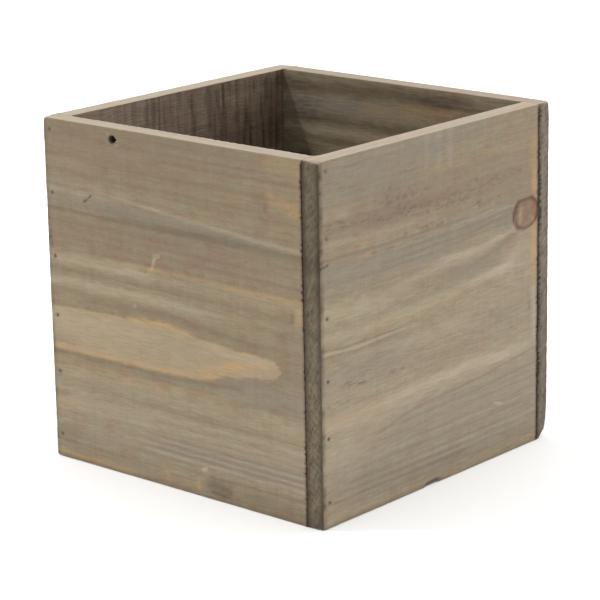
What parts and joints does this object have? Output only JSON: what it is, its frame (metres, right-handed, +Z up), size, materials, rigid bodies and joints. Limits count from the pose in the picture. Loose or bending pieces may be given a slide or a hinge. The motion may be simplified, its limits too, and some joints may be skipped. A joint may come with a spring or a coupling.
{
  "type": "planter box",
  "caption": "Small open cube planter of butt-jointed stained pine boards, nailed with wire brads round a recessed floor board, for a pot, liner or flowers.",
  "frame": {"origin": "middle of the footprint, on the surface that the box stands on", "axes": "+Z up to the rim; -Y out of the front board, which has the pin-knot hole; +X out of the right board"},
  "size_m": [0.14, 0.14, 0.1375],
  "materials": {
    "stained_pine": "grey-brown stain, sanded, open grain",
    "brad_steel": "browned wire"
  },
  "bodies": {
    "root": {"front_board": "stained_pine", "right_board": "stained_pine", "back_board": "stained_pine", "left_board": "stained_pine", "floor_board": "stained_pine", "front_corner_brad_1": "brad_steel", "front_corner_brad_2": "brad_steel", "front_corner_brad_3": "brad_steel", "front_corner_brad_4": "brad_steel", "front_corner_brad_5": "brad_steel", "front_corner_brad_6": "brad_steel", "front_floor_brad_1": "brad_steel", "front_floor_brad_2": "brad_steel", "front_floor_brad_3": "brad_steel", "right_corner_brad_1": "brad_steel", "right_corner_brad_2": "brad_steel", "right_corner_brad_3": "brad_steel", "right_corner_brad_4": "brad_steel", "right_corner_brad_5": "brad_steel", "right_corner_brad_6": "brad_steel", "right_floor_brad_1": "brad_steel", "right_floor_brad_2": "brad_steel", "right_floor_brad_3": "brad_steel", "back_corner_brad_1": "brad_steel", "back_corner_brad_2": "brad_steel", "back_corner_brad_3": "brad_steel", "back_corner_brad_4": "brad_steel", "back_corner_brad_5": "brad_steel", "back_corner_brad_6": "brad_steel", "back_floor_brad_1": "brad_steel", "back_floor_brad_2": "brad_steel", "back_floor_brad_3": "brad_steel", "left_corner_brad_1": "brad_steel", "left_corner_brad_2": "brad_steel", "left_corner_brad_3": "brad_steel", "left_corner_brad_4": "brad_steel", "left_corner_brad_5": "brad_steel", "left_corner_brad_6": "brad_steel", "left_floor_brad_1": "brad_steel", "left_floor_brad_2": "brad_steel", "left_floor_brad_3": "brad_steel"}
  },
  "joints": []
}
